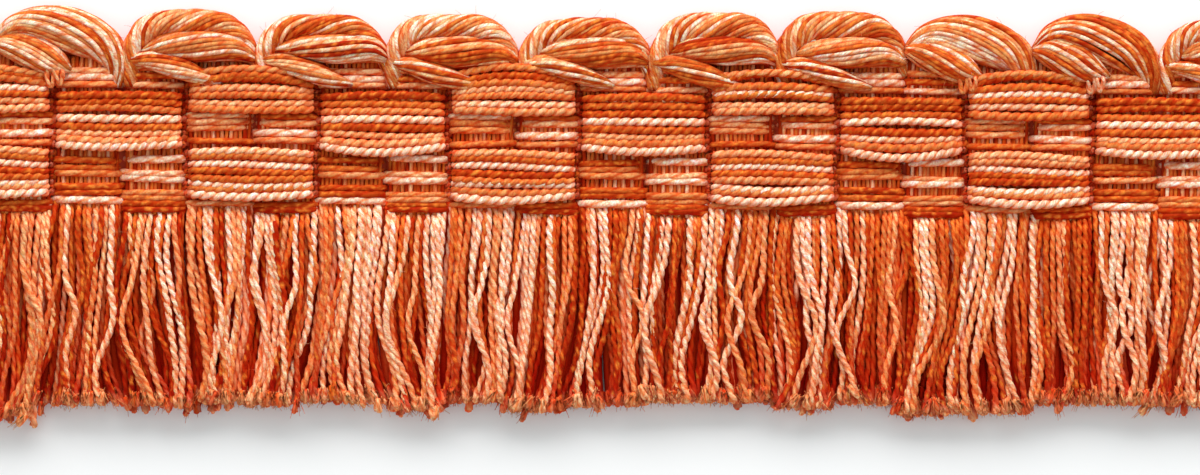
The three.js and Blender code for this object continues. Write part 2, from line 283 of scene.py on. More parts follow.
def yarn_piece(name, yarns, material, slot, *nodes):
    """Joins yarns into one piece, with their dye, their length and round, and a map for baking.
    On the map the yarns lie end to end in rows."""
    longest = max(yarn["run"][-1] for yarn in yarns)
    wide = max(longest + 1.0, math.sqrt(MAP_SPREAD * sum(yarn["run"][-1] + MAP_GAP for yarn in yarns)))
    corners, totals, spin, atlas = [], [], [], []
    base, cursor, row = 0, 0.0, 0
    for yarn in yarns:
        corners += [(yarn["quads"] + base).ravel(), (yarn["caps"] + base).ravel()]
        totals += [np.full(len(yarn["quads"]), 4), np.full(len(yarn["caps"]), 3)]
        base += len(yarn["points"])
        along, rounds = strip_places(yarn)
        if cursor + yarn["run"][-1] + MAP_GAP > wide:
            cursor, row = 0.0, row + 1
        spin.append(np.c_[along, rounds])
        atlas.append(np.c_[along + cursor + MAP_GAP / 2, rounds * MAP_FILL + MAP_EDGE + row])
        cursor += yarn["run"][-1] + MAP_GAP
    points = np.concatenate([yarn["points"] for yarn in yarns]) * MM
    colours = np.concatenate([yarn["colours"] for yarn in yarns])
    corners, totals = np.concatenate(corners), np.concatenate(totals)
    starts = np.concatenate([[0], np.cumsum(totals)[:-1]])
    mesh = bpy.data.meshes.new(name)
    mesh.vertices.add(len(points))
    mesh.vertices.foreach_set("co", points.astype(np.float32).ravel())
    mesh.loops.add(len(corners))
    mesh.loops.foreach_set("vertex_index", corners.astype(np.int32))
    mesh.polygons.add(len(starts))
    mesh.polygons.foreach_set("loop_start", starts.astype(np.int32))
    mesh.update(calc_edges=True)
    mesh.polygons.foreach_set("use_smooth", np.ones(len(starts), bool))
    dye = mesh.color_attributes.new(name="dye", type="FLOAT_COLOR", domain="POINT")
    dye.data.foreach_set("color", np.c_[colours, np.ones(len(colours))].astype(np.float32).ravel())
    places = np.concatenate(atlas) / (wide, row + 1)
    mesh.uv_layers.new(name="OFBake").uv.foreach_set("vector", places.astype(np.float32).ravel())
    places = np.concatenate(spin)
    mesh.uv_layers.new(name="spin").uv.foreach_set("vector", places.astype(np.float32).ravel())
    mesh.materials.append(material)
    piece = bpy.data.objects.new(name, mesh)
    scene.collection.objects.link(piece)
    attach(piece, "root")
    if nodes:
        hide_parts(*nodes)
    return piece


SHEEN, SHEEN_TINT = 0.05, (1.0, 0.5, 0.25, 1)
GLINT, GLINT_TINT = 0.08, (1.0, 0.6, 0.35, 1)
GLOW = 0.3  # how much of the light passes through a yarn
GLOW_DEEP, GLOW_TINT = 0.0003, (1.0, 0.3, 0.12)
STREAK_SCALE, STREAK_RAMP = (3.2, 9.0, 1.0), (0.34, 0.62)
STREAK_TINT = np.array((0.2, 1.0, 1.15))
FIBRE_DEEP = 0.00014


def yarn_material(name, rough, streak, glow=GLOW):
    """Spun fibre: its dye with fine streaks, a soft sheen, a glow of light through it, and a bump."""
    material = bpy.data.materials.new(name)
    material.use_nodes = True
    nodes, links = material.node_tree.nodes, material.node_tree.links
    shader = nodes["Principled BSDF"]
    shader.inputs["Roughness"].default_value = rough
    shader.inputs["Sheen Weight"].default_value = SHEEN
    shader.inputs["Sheen Roughness"].default_value = 0.45
    shader.inputs["Sheen Tint"].default_value = SHEEN_TINT
    shader.inputs["Specular IOR Level"].default_value = GLINT
    shader.inputs["Specular Tint"].default_value = GLINT_TINT
    shader.inputs["Subsurface Weight"].default_value = glow
    shader.inputs["Subsurface Radius"].default_value = GLOW_TINT
    shader.inputs["Subsurface Scale"].default_value = GLOW_DEEP
    dye = nodes.new("ShaderNodeAttribute")
    dye.attribute_name = "dye"
    place = nodes.new("ShaderNodeUVMap")
    place.uv_map = "spin"
    stretch = nodes.new("ShaderNodeMapping")
    stretch.inputs["Scale"].default_value = STREAK_SCALE
    links.new(place.outputs["UV"], stretch.inputs["Vector"])
    fibre = nodes.new("ShaderNodeTexNoise")
    fibre.inputs["Scale"].default_value = 1.0
    fibre.inputs["Detail"].default_value = 3.0
    links.new(stretch.outputs["Vector"], fibre.inputs["Vector"])
    ramp = nodes.new("ShaderNodeValToRGB")
    for element, position in zip(ramp.color_ramp.elements, STREAK_RAMP):
        element.position = position
    ramp.color_ramp.elements[0].color = (*(1 - streak * STREAK_TINT), 1)
    links.new(fibre.outputs["Fac"], ramp.inputs["Fac"])
    shade = nodes.new("ShaderNodeMix")
    shade.data_type = "RGBA"
    shade.blend_type = "MULTIPLY"
    shade.inputs["Factor"].default_value = 1.0
    links.new(dye.outputs["Color"], shade.inputs["A"])
    links.new(ramp.outputs["Color"], shade.inputs["B"])
    links.new(shade.outputs["Result"], shader.inputs["Base Color"])
    bump = nodes.new("ShaderNodeBump")
    bump.inputs["Strength"].default_value = 0.6
    bump.inputs["Distance"].default_value = FIBRE_DEEP
    links.new(fibre.outputs["Fac"], bump.inputs["Height"])
    links.new(bump.outputs["Normal"], shader.inputs["Normal"])
    return material


# Long floats: thick warp yarns that run the whole length, over the face of every second pair
# and behind the pair between. They make the raised blocks of the basket weave. A float's level
# is its height above the seam in the middle of a block, and its bow is how much lower it starts.
LONG_FLOATS = {
    "middle": [
        {"level": 14.8, "bow": 0.3, "tilt": 0.2, "dye": "rust"},
        {"level": 13.8, "bow": 0.2, "tilt": 0.1, "dye": "rust"},
        {"level": 12.8, "bow": 0.1, "tilt": 0.0, "dye": "orange"},
        {"level": 11.8, "bow": 0.1, "tilt": -0.2, "dye": "cream"},
        {"level": 10.8, "bow": 0.0, "tilt": -0.3, "dye": "rust"},
        {"level": 9.8, "bow": -0.2, "tilt": -0.2, "dye": "peach"},
        {"level": 8.8, "bow": -0.5, "tilt": 0.1, "dye": "salmon"},
        {"level": 7.8, "bow": -0.8, "tilt": 0.2, "dye": "cream"},
    ],
    "upper": [
        {"level": 18.5, "bow": 1.4, "tilt": -0.3, "dye": "salmon"},
        {"level": 17.5, "bow": 1.1, "tilt": -0.2, "dye": "rust"},
        {"level": 16.6, "bow": 0.8, "tilt": -0.1, "dye": "orange"},
        {"level": 15.7, "bow": 0.5, "tilt": 0.0, "dye": "cream"},
        {"level": 14.8, "bow": 0.2, "tilt": 0.1, "dye": "orange"},
        {"level": 13.8, "bow": 0.0, "tilt": 0.1, "dye": "peach"},
        {"level": 12.8, "bow": -0.3, "tilt": 0.3, "dye": "salmon"},
    ],
    "lower": [
        {"level": 8.0, "bow": 0.6, "tilt": -0.7, "dye": "peach"},
        {"level": 7.1, "bow": 0.3, "tilt": -0.9, "dye": "orange"},
        {"level": 6.1, "bow": 0.2, "tilt": -1.0, "dye": "cream"},
        {"level": 5.15, "bow": 0.0, "tilt": -0.7, "dye": "rust"},
        {"level": 4.3, "bow": -0.1, "tilt": -0.3, "dye": "orange"},
        {"level": 3.45, "bow": -0.3, "tilt": 0.0, "dye": "cream"},
        {"level": 2.6, "bow": -0.5, "tilt": 0.2, "dye": "salmon"},
        {"level": 1.8, "bow": -0.7, "tilt": 0.5, "dye": "cream"},
    ],
}
FLOAT_RADIUS, FLOAT_STOUT = 0.59, (0.86, 1.08)
FLOAT_TURN, FLOAT_SOFT = (2.2, 2.8), 0.15
FLOAT_FACE_Z, FLOAT_BACK_Z = 3.35, 0.6
FLOAT_CROWN, CROWN_CURVE = 0.55, 3
FACE_STRAY = 0.1
FLOAT_STEP, BACK_STEP = 0.4, 0.9
DIVE = 1.1  # half the way in which a float passes from the face to the back
STUB = 0.7  # how far the cut warps stand out at each end
# Painted shade: a float is painted darker near the seam between two pairs, where it dives and shade falls.
# The first value is how wide that painted shade is.
PAINTED_SEAM_WIDE, PAINTED_SEAM_SHADE = 0.8, np.array((0.3, 0.8, 0.88))  # the dark seam between two pairs
# How a float differs from its row in each block: its bow and its tilt, how far it strays, and
# how often it keeps its dye.
BOW_SHARE, TILT_SHARE = (0.4, 1.4), (0.4, 1.2)
TILT_STRAY, TILT_CURVE, FLOAT_STRAY = 0.2, 0.4, 0.15
KEEP_DYE = 0.8


def warp_places(on_face):
    """Places along the trim, close together where the warp is on the face."""
    places = [np.array([-LENGTH / 2 - STUB])]
    for pair in range(SCALLOPS + 1):
        low = max(FIRST_PAIR + pair * PITCH, -LENGTH / 2)
        high = min(FIRST_PAIR + (pair + 1) * PITCH, LENGTH / 2)
        step = FLOAT_STEP if (pair % 2 == 0) == on_face else BACK_STEP
        places.append(np.linspace(low, high, round((high - low) / step), endpoint=False))
    places.append(np.array([LENGTH / 2, LENGTH / 2 + STUB]))
    return np.concatenate(places)


def long_float(row, on_face):
    """One warp yarn from end to end: up over its blocks, and down behind the others."""
    x = warp_places(on_face)
    place = (x - FIRST_PAIR) / PITCH
    pair = np.clip(np.floor(place), 0, SCALLOPS).astype(int)
    share = place - pair
    facing = (pair % 2 == 0) == on_face
    face = FLOAT_FACE_Z + chance.uniform(-FACE_STRAY, FACE_STRAY)
    face = face + FLOAT_CROWN * (1 - np.abs(2 * share - 1) ** CROWN_CURVE)
    dive = np.clip(np.minimum(share, 1 - share) * PITCH / DIVE, 0, 1)
    dive = 0.5 + 0.5 * dive * dive * (3 - 2 * dive)
    shown = np.where(facing, dive, 1 - dive)
    z = FLOAT_BACK_Z + (face - FLOAT_BACK_Z) * shown
    blocks = SCALLOPS + 1
    bow = row["bow"] * chance.uniform(*BOW_SHARE, blocks)
    tilt = row["tilt"] * chance.uniform(*TILT_SHARE, blocks) + chance.normal(0, TILT_STRAY, blocks)
    wander = chance.normal(0, FLOAT_STRAY, blocks)
    arch = np.sin(np.pi * share)
    sag = (bow[pair] + wander[pair]) * arch + tilt[pair] * (share - 0.5) * arch**TILT_CURVE
    y = row["level"] - row["bow"] + np.where(facing, sag, 0.0)
    dyes = [row["dye"] if chance.random() < KEEP_DYE else near_dye(row["dye"]) for _ in range(blocks)]
    tones = np.stack([ply_tones(dye, len(x)) for dye in dyes])[pair, np.arange(len(x))]
    # Painted shade on the float where it dives at the seam between two pairs.
    edge = np.exp(-((np.minimum(share, 1 - share) * PITCH / PAINTED_SEAM_WIDE) ** 2))
    tones = tones * (1 - PAINTED_SEAM_SHADE * edge[:, None, None])
    path = np.c_[crept(x), y + SEAM, z]
    radius = FLOAT_RADIUS * chance.uniform(*FLOAT_STOUT)
    return spun(path, radius, chance.uniform(*FLOAT_TURN), tones, sides=8, soft=FLOAT_SOFT)


long_yarn = yarn_material("long_float_yarn", rough=0.5, streak=0.55)
long_yarns = [long_float(row, group == "middle") for group in LONG_FLOATS for row in LONG_FLOATS[group]]
long_floats = yarn_piece("long_floats", long_yarns, long_yarn, "heading_yarn", "heading")

# Short floats: finer binding warps, one set over the left ribs and one over the right ribs.
# They show in the windows that the long floats leave, and bind each rib on its own.
SHORT_FLOATS = {
    ("left", "middle"): [
        {"level": 17.7, "dye": "peach"}, {"level": 16.8, "dye": "cream"}, {"level": 15.9, "dye": "salmon"},
        {"level": 6.5, "dye": "rust"}, {"level": 5.7, "dye": "orange"}, {"level": 4.95, "dye": "salmon"},
        {"level": 3.3, "dye": "rust"}, {"level": 2.5, "dye": "rust"}, {"level": 1.5, "dye": "cream"},
    ],
    ("left", "outer"): [
        {"level": 12.2, "dye": "peach"}, {"level": 11.4, "dye": "salmon"}, {"level": 10.6, "dye": "salmon"},
        {"level": 8.9, "dye": "orange"}, {"level": 1.2, "dye": "salmon"},
    ],
    ("right", "middle"): [
        {"level": 18.0, "dye": "salmon"}, {"level": 17.0, "dye": "rust"}, {"level": 15.9, "dye": "peach"},
        {"level": 6.8, "dye": "cream"}, {"level": 5.0, "dye": "peach"}, {"level": 4.3, "dye": "cream"},
        {"level": 2.45, "dye": "salmon"}, {"level": 1.8, "dye": "salmon"}, {"level": 1.1, "dye": "rust"},
        {"level": 0.45, "dye": "brick"},
    ],
    ("right", "outer"): [
        {"level": 12.1, "dye": "rust"}, {"level": 11.35, "dye": "peach"}, {"level": 10.0, "dye": "cream"},
        {"level": 8.8, "dye": "salmon"}, {"level": 1.15, "dye": "rust"}, {"level": 0.45, "dye": "brick"},
    ],
}
SHORT_RADIUS, SHORT_STOUT, CREAM_STOUT = 0.45, (0.92, 1.1), 1.2
SHORT_TURN, SHORT_SOFT = (4.5, 7.0), 0.5
SHORT_EDGE_Z, SHORT_TOP_Z, SHORT_BACK_Z = 1.2, 2.95, 0.55
SHORT_REACH = 0.3  # how far a short float reaches past the edge of its rib
PIT_REACH = -0.35  # the same at a pit between two ribs
PIT_LEVELS = {"middle": (5.6, 7.4), "outer": (10.3, 12.6)}
SHORT_STEP, SHORT_BACK_COUNT, SHORT_CURVE = 0.36, 10, 4
LEVEL_STRAY, SHORT_TILT, SHORT_BOW = 0.05, 0.12, 0.08


def short_float(rib, row, back=False):
    """One binding warp over a rib, or behind it."""
    low, high = PIT_LEVELS[rib["weave"]]
    inner = PIT_REACH if low < row["level"] < high and not back else SHORT_REACH
    start = rib["left"] - (SHORT_REACH if rib["side"] == "left" else inner)
    stop = rib["right"] + (inner if rib["side"] == "left" else SHORT_REACH)
    count = SHORT_BACK_COUNT if back else round((stop - start) / SHORT_STEP)
    share = np.linspace(0, 1, count)
    x = start + share * (stop - start)
    arch = 1 - np.abs(2 * share - 1) ** SHORT_CURVE
    top = SHORT_BACK_Z if back else SHORT_TOP_Z + chance.uniform(-FACE_STRAY, FACE_STRAY)
    z = SHORT_EDGE_Z + (top - SHORT_EDGE_Z) * arch
    y = row["level"] + chance.normal(0, LEVEL_STRAY) + chance.normal(0, SHORT_TILT) * (share - 0.5)
    y = y + chance.normal(0, SHORT_BOW) * arch
    radius = SHORT_RADIUS * (CREAM_STOUT if row["dye"] == "cream" else chance.uniform(*SHORT_STOUT))
    path = np.c_[crept(x), y + SEAM, z]
    turn = chance.uniform(*SHORT_TURN)
    return spun(path, radius, turn, ply_tones(row["dye"], count), sides=6 if back else 8, soft=SHORT_SOFT)


short_yarn = yarn_material("short_float_yarn", rough=0.52, streak=0.55)
other = {"left": "right", "right": "left", "middle": "outer", "outer": "middle"}
short_yarns = []
for rib in ribs:
    short_yarns += [short_float(rib, row) for row in SHORT_FLOATS[rib["side"], rib["weave"]]]
    behind = SHORT_FLOATS[other[rib["side"]], other[rib["weave"]]]
    short_yarns += [short_float(rib, row, back=True) for row in behind]
short_floats = yarn_piece("short_floats", short_yarns, short_yarn, "heading_yarn")

# Ribs: the weft yarns that stand side by side under the floats, packed into rounded columns.
# They show as thin upright strands, pale and dark in turn, in the gaps between the short floats.
RIB_STRANDS, RIB_BACK_STRANDS = 14, 8
RIB_HALF_Z = 0.85
RIB_ROUND = 0.93  # how near the outermost strands come to the middle of the thickness
RIB_MIDDLE_Z = 1.7
RIB_LOW = -0.2  # where the strands start, below the seam
RIB_FULL = 0.9  # share of a rib's width that its strands fill
RIB_RISE = 1.6  # how far the strands reach past the heading, up into the scallops
STRAND_RADIUS, STRAND_TURN = 0.33, 2.6
STRAND_STEPS = 12
STRAND_STRAY, STRAND_WAVE, STRAND_SPEED = 0.05, 0.06, (0.8, 1.4)
PALE_STRANDS = ("peach", "peach", "salmon", "orange")
DARK_STRANDS = ("orange", "orange", "rust", "brick")


def rib_strand(rib, number, count, front):
    """One upright strand of a rib, on its face or on its back."""
    side = (number + 0.5) / count * 2 - 1
    x = (rib["left"] + rib["right"]) / 2 + side * (rib["right"] - rib["left"]) * RIB_FULL / 2
    y = np.linspace(RIB_LOW, heading_top(x) + RIB_RISE, STRAND_STEPS)
    bulge = math.sqrt(1 - (RIB_ROUND * side) ** 2) * RIB_HALF_Z * (1 if front else -1)
    z = RIB_MIDDLE_Z + bulge + chance.normal(0, STRAND_STRAY)
    wave = STRAND_WAVE * np.sin(y * chance.uniform(*STRAND_SPEED) + chance.uniform(*PHASES))
    # Painted shade: the outermost strands of each rib, at the pits between ribs, are painted brick.
    outermost = number in (0, count - 1)
    dye = "brick" if outermost else chance.choice(PALE_STRANDS if number % 2 else DARK_STRANDS)
    path = np.c_[crept(x) + wave, y + SEAM, np.full(len(y), z)]
    return spun(path, STRAND_RADIUS, STRAND_TURN, ply_tones(dye, len(y)), sides=5)


rib_yarns = []
for rib in ribs:
    rib_yarns += [rib_strand(rib, number, RIB_STRANDS, True) for number in range(RIB_STRANDS)]
    rib_yarns += [rib_strand(rib, number, RIB_BACK_STRANDS, False) for number in range(RIB_BACK_STRANDS)]
rib_yarn = yarn_material("rib_yarn", rough=0.6, streak=0.35, glow=0.0)
rib_weft = yarn_piece("rib_weft", rib_yarns, rib_yarn, "heading_yarn")

# Ground of the heading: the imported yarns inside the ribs, made as one thin cloth with a soft
# swell for each rib. It closes the weave between the floats.
GROUND_COLUMNS, GROUND_ROWS = 264, 6
GROUND_THICK = 0.6
GROUND_INSET = 0.3  # at each end of the trim
GROUND_LOW_Y, GROUND_SHORT = 0.2, 0.8  # where it starts, and how much shorter than the heading it is
GROUND_LOW_Z, GROUND_SWELL, GROUND_CURVE = 1.0, 0.9, 6
PACKED_LIGHT = (0.5, 0.045, 0.006, 1)
STRIPE_SCALE, STRIPE_STRAY = 290.0, 3.0
bpy.ops.mesh.primitive_grid_add(x_subdivisions=GROUND_COLUMNS, y_subdivisions=GROUND_ROWS, size=1.0)
ground = bpy.context.object
ground.name = "heading_ground"
for vertex in ground.data.vertices:
    x = vertex.co.x * (LENGTH - 2 * GROUND_INSET)
    y = GROUND_LOW_Y + (vertex.co.y + 0.5) * (heading_top(x) - GROUND_SHORT)
    rib = next((r for r in ribs if r["left"] <= x <= r["right"]), ribs[-1])
    side = 2 * (x - rib["left"]) / (rib["right"] - rib["left"]) - 1
    vertex.co = Vector((crept(x), y + SEAM, GROUND_LOW_Z + GROUND_SWELL * (1 - side**GROUND_CURVE))) * MM
solidify = ground.modifiers.new("thickness", "SOLIDIFY")
solidify.thickness = GROUND_THICK * MM
solidify.offset = 0
bpy.ops.object.modifier_apply(modifier="thickness")
packed = bpy.data.materials.new("packed_weft")
packed.use_nodes = True
nodes, links = packed.node_tree.nodes, packed.node_tree.links
where = nodes.new("ShaderNodeTexCoord")
stripe = nodes.new("ShaderNodeTexWave")
stripe.bands_direction = "X"
stripe.inputs["Scale"].default_value = STRIPE_SCALE
stripe.inputs["Distortion"].default_value = STRIPE_STRAY
tint = nodes.new("ShaderNodeValToRGB")
tint.color_ramp.elements[0].color = (*DYES["brick"], 1)
tint.color_ramp.elements[1].color = PACKED_LIGHT
links.new(where.outputs["Object"], stripe.inputs["Vector"])
links.new(stripe.outputs["Fac"], tint.inputs["Fac"])
links.new(tint.outputs["Color"], nodes["Principled BSDF"].inputs["Base Color"])
nodes["Principled BSDF"].inputs["Roughness"].default_value = 0.8
ground.data.materials.append(packed)
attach(ground, "root")

# Scallops: the weft yarns of a right rib turn over at the top and come down the next left rib.
# They are twisted on the way, so they lie in fat bundles across each other.
SCALLOP_ROWS = [
    {"crest": 25.3, "turn": "rope"},
    {"crest": 26.2, "turn": "leaf"},
    {"crest": 25.4, "turn": "rope"},
    {"crest": 25.9, "turn": "rope"},
    {"crest": 25.1, "turn": "rope"},
    {"crest": 25.4, "turn": "rope"},
    {"crest": 25.7, "turn": "rope"},
    {"crest": 25.8, "turn": "rope"},
    {"crest": 25.9, "turn": "leaf"},
    {"crest": 25.9, "turn": "leaf"},
    {"crest": 25.9, "turn": "rope"},
]
SCALLOP_FOOT = 16.6
# A bundle's way, from left to right: the share of the scallop's width, the share of its height
# above the foot, the bundle's half width and half thickness, and the height of its middle.
BUNDLES = {
    "rope": [
        {"yarns": 17, "turns": -1.7, "way": [
            {"across": 0.06, "up": -0.1, "half": 1.1, "thick": 1.2, "z": 2.1},
            {"across": 0.08, "up": 0.38, "half": 1.6, "thick": 1.7, "z": 2.4},
            {"across": 0.22, "up": 0.70, "half": 1.9, "thick": 2.0, "z": 2.5},
            {"across": 0.48, "up": 0.77, "half": 1.9, "thick": 2.0, "z": 2.5},
            {"across": 0.76, "up": 0.74, "half": 1.8, "thick": 1.9, "z": 2.5},
            {"across": 0.94, "up": 0.50, "half": 1.2, "thick": 1.5, "z": 2.3},
            {"across": 1.00, "up": 0.12, "half": 0.7, "thick": 1.0, "z": 1.9},
        ]},
        {"yarns": 18, "turns": -0.3, "way": [
            {"across": 0.14, "up": 0.42, "half": 0.5, "thick": 0.8, "z": 2.8},
            {"across": 0.34, "up": 0.46, "half": 1.8, "thick": 1.7, "z": 3.3},
            {"across": 0.60, "up": 0.45, "half": 2.3, "thick": 2.0, "z": 3.4},
            {"across": 0.86, "up": 0.42, "half": 1.8, "thick": 1.8, "z": 3.2},
            {"across": 1.01, "up": 0.28, "half": 0.7, "thick": 0.9, "z": 2.4},
        ]},
        {"yarns": 12, "turns": -0.3, "way": [
            {"across": 0.05, "up": 0.28, "half": 0.6, "thick": 0.8, "z": 3.0},
            {"across": 0.22, "up": 0.24, "half": 1.3, "thick": 1.4, "z": 3.6},
            {"across": 0.42, "up": 0.12, "half": 1.5, "thick": 1.5, "z": 3.8},
            {"across": 0.60, "up": 0.01, "half": 1.1, "thick": 1.1, "z": 3.6},
            {"across": 0.74, "up": -0.05, "half": 0.5, "thick": 0.6, "z": 3.2},
        ]},
    ],
    "leaf": [
        {"yarns": 28, "turns": 0.36, "way": [
            {"across": 0.02, "up": 0.46, "half": 0.8, "thick": 1.0, "z": 2.2},
            {"across": 0.22, "up": 0.66, "half": 2.1, "thick": 2.0, "z": 2.5},
            {"across": 0.52, "up": 0.62, "half": 3.1, "thick": 2.3, "z": 2.6},
            {"across": 0.80, "up": 0.46, "half": 2.8, "thick": 2.2, "z": 2.5},
            {"across": 0.94, "up": 0.18, "half": 1.8, "thick": 1.7, "z": 2.2},
            {"across": 0.96, "up": -0.1, "half": 1.1, "thick": 1.0, "z": 1.8},
        ]},
        {"yarns": 19, "turns": 0.2, "way": [
            {"across": 0.01, "up": 0.46, "half": 0.7, "thick": 0.8, "z": 2.9},
            {"across": 0.14, "up": 0.42, "half": 1.8, "thick": 1.6, "z": 3.3},
            {"across": 0.32, "up": 0.32, "half": 2.2, "thick": 1.8, "z": 3.5},
            {"across": 0.48, "up": 0.20, "half": 1.8, "thick": 1.6, "z": 3.5},
            {"across": 0.60, "up": 0.12, "half": 0.6, "thick": 0.7, "z": 3.1},
        ]},
    ],
}
WAY_STEPS = 80
ACROSS_STRAY, UP_STRAY, HALF_STRAY = 0.018, 0.02, 0.06
TURNS_SHARE = (0.85, 1.15)
YARN_PLACE = (-0.15, 0.15)  # how unevenly the yarns stand round a bundle
YARN_DEPTH = (0.86, 1.0)  # how near the skin of a bundle its yarns lie
DEPTH_WAVE, DEPTH_SPEED = 0.05, (6, 14)
SCALLOP_RADIUS, SCALLOP_STOUT = 0.37, (0.88, 1.06)
# The second value is the strength of the painted side shade on the scallop yarns.
SCALLOP_TURN, SCALLOP_PAINTED_BLEED = (2.4, 3.2), 0.95
SCALLOP_STEP = 0.52
SCALLOP_MIX = (0.21, 0.21, 0.20, 0.19, 0.15, 0.04)  # the shares of the dyes, cream to brick
# Painted light: the scallop yarns are painted less red and a little greener and bluer, offsetting the
# fuller light on the scallops.
SCALLOP_PAINTED_LIGHT_OFFSET = np.array((0.92, 1.04, 1.04))
TAPER, TAPER_LONG = 0.2, 1.5
CORE_ARCS, CORE_STEPS = 6, 22
CORE_RADIUS = 0.72
CORE_INSET, CORE_APART = 0.9, 1.15
CORE_TALL, CORE_LOWER = 0.82, 0.12  # shares of the scallop's height
LOOP_ENDS = [
    {"across": 0.46, "up": 0.08, "wide": 0.42, "long": 1.7},
    {"across": 0.53, "up": 0.07, "wide": 0.36, "long": 1.3},
]
LOOP_RADIUS, LOOP_TURN = 0.34, 3.0
LOOP_Z, LOOP_DROP = 4.3, 0.4
LOOP_PAST, LOOP_STEPS = 0.3, 12  # a loop is a little more than half a turn


def along_way(way, share):
    """A bundle's across, up, half, thick and z, smoothly, at shares of its way."""
    rows = np.array([list(stop.values()) for stop in way])
    rows = np.vstack([2 * rows[0] - rows[1], rows, 2 * rows[-1] - rows[-2]])
    place = share * (len(way) - 1)
    index = np.clip(np.floor(place).astype(int), 0, len(way) - 2)
    t = (place - index)[:, None]
    a, b, c, d = rows[index], rows[index + 1], rows[index + 2], rows[index + 3]
    return 0.5 * (2 * b + (c - a) * t + (2 * a - 5 * b + 4 * c - d) * t**2 + (3 * b - a - 3 * c + d) * t**3)


def evenly(path, step):
    """The same path with points at even distances."""
    run = np.concatenate([[0.0], np.cumsum(np.linalg.norm(np.diff(path, axis=0), axis=1))])
    even = np.linspace(0, run[-1], max(8, round(run[-1] / step)))
    return np.stack([np.interp(even, run, path[:, axis]) for axis in range(3)], axis=-1), even


def bundle_yarns(bundle, left, right, crest):
    """The yarns of one bundle, which wind round its way like the strands of a rope."""
    made = []
    share = np.linspace(0, 1, WAY_STEPS)
    across, up, half, thick, height = along_way(bundle["way"], share).T
    bend = np.sin(np.pi * share)
    x = left + (across + chance.normal(0, ACROSS_STRAY) * bend) * (right - left)
    y = SCALLOP_FOOT + (up + chance.normal(0, UP_STRAY) * bend) * (crest - SCALLOP_FOOT)
    half = half * (1 + chance.normal(0, HALF_STRAY) * bend)
    turns = bundle["turns"] * chance.uniform(*TURNS_SHARE)
    ahead = np.stack([np.gradient(x), np.gradient(y)])
    ahead /= np.linalg.norm(ahead, axis=0)
    lead = chance.uniform(0, 2 * np.pi)
    for number in range(bundle["yarns"]):
        start = lead + 2 * np.pi * (number + chance.uniform(*YARN_PLACE)) / bundle["yarns"]
        angle = start + 2 * np.pi * turns * share
        depth = chance.uniform(*YARN_DEPTH)
        depth = depth + DEPTH_WAVE * np.sin(share * chance.uniform(*DEPTH_SPEED) + start)
        out = (half - SCALLOP_RADIUS) * np.cos(angle) * depth
        rise = height + (thick - SCALLOP_RADIUS) * np.sin(angle) * depth
        path = np.c_[x - ahead[1] * out, y + ahead[0] * out + SEAM, np.maximum(rise, SCALLOP_RADIUS)]
        path, run = evenly(path, SCALLOP_STEP)
        dye = chance.choice(DYE_ORDER, p=SCALLOP_MIX)
        taper = 1 - TAPER + TAPER * np.clip(np.minimum(run, run[-1] - run) / TAPER_LONG, 0, 1)
        radius = SCALLOP_RADIUS * chance.uniform(*SCALLOP_STOUT) * taper
        # The scallop yarns take the painted light offset.
        tones = ply_tones(dye, len(path)) * SCALLOP_PAINTED_LIGHT_OFFSET
        made.append(spun(path, radius, chance.uniform(*SCALLOP_TURN), tones, sides=5, painted_bleed=SCALLOP_PAINTED_BLEED))
    return made


def core_arcs(left, right, crest):
    """The yarns behind the bundles, which turn from one rib to the next in even arcs."""
    made = []
    for number in range(CORE_ARCS):
        half = (right - left) / 2 - CORE_INSET - number * CORE_APART
        tall = (crest - SCALLOP_FOOT) * (CORE_TALL - number * CORE_LOWER)
        angle = np.linspace(np.pi, 0, CORE_STEPS)
        x = (left + right) / 2 + half * np.cos(angle)
        y = SCALLOP_FOOT + tall * np.sin(angle) + SEAM
        tones = ply_tones(chance.choice(("salmon", "orange", "rust")), len(angle))
        path = np.c_[x, y, np.full(len(angle), CORE_RADIUS)]
        made.append(spun(path, CORE_RADIUS, LOOP_TURN, tones, sides=5))
    return made


def loop_end(loop, left, right, crest):
    """A small loop of yarn that hangs out of the end of a leaf."""
    angle = np.linspace(-LOOP_PAST, np.pi + LOOP_PAST, LOOP_STEPS)
    x = left + loop["across"] * (right - left) + loop["wide"] * np.cos(angle)
    y = SCALLOP_FOOT + loop["up"] * (crest - SCALLOP_FOOT) - loop["long"] * np.sin(angle) + SEAM
    z = LOOP_Z - LOOP_DROP * np.sin(angle)
    tones = ply_tones(chance.choice(("peach", "salmon")), len(angle))
    return spun(np.c_[x, y, z], LOOP_RADIUS, LOOP_TURN, tones)


scallop_yarn = yarn_material("scallop_yarn", rough=0.5, streak=0.55)
scallops, scallop_yarns = [], []
for number, row in enumerate(SCALLOP_ROWS):
    left = crept(-LENGTH / 2 + number * PITCH)
    right = crept(-LENGTH / 2 + (number + 1) * PITCH)
    made = core_arcs(left, right, row["crest"])
    for bundle in BUNDLES[row["turn"]]:
        made += bundle_yarns(bundle, left, right, row["crest"])
    if row["turn"] == "leaf":
        made += [loop_end(loop, left, right, row["crest"]) for loop in LOOP_ENDS]
    name = f"{number + 1:02d}"
    scallops.append(yarn_piece("scallop_" + name, made, scallop_yarn, "loop_yarn", "loop_" + name))
    scallop_yarns += made

# Brush fringe: the weft yarns again, hanging free below the seam and cut level. They fan out of
# each rib in loose layers, gather into locks, and fray where they are cut.
FRINGE_LENGTHS = [  # from the seam to the cut, below each rib
    25.5, 26.1, 26.3, 24.8, 24.9, 24.4, 24.7, 24.3, 25.2, 24.1, 25.2,
    24.5, 23.9, 23.9, 24.6, 24.0, 25.3, 25.1, 23.9, 23.8, 23.9, 24.1,
]
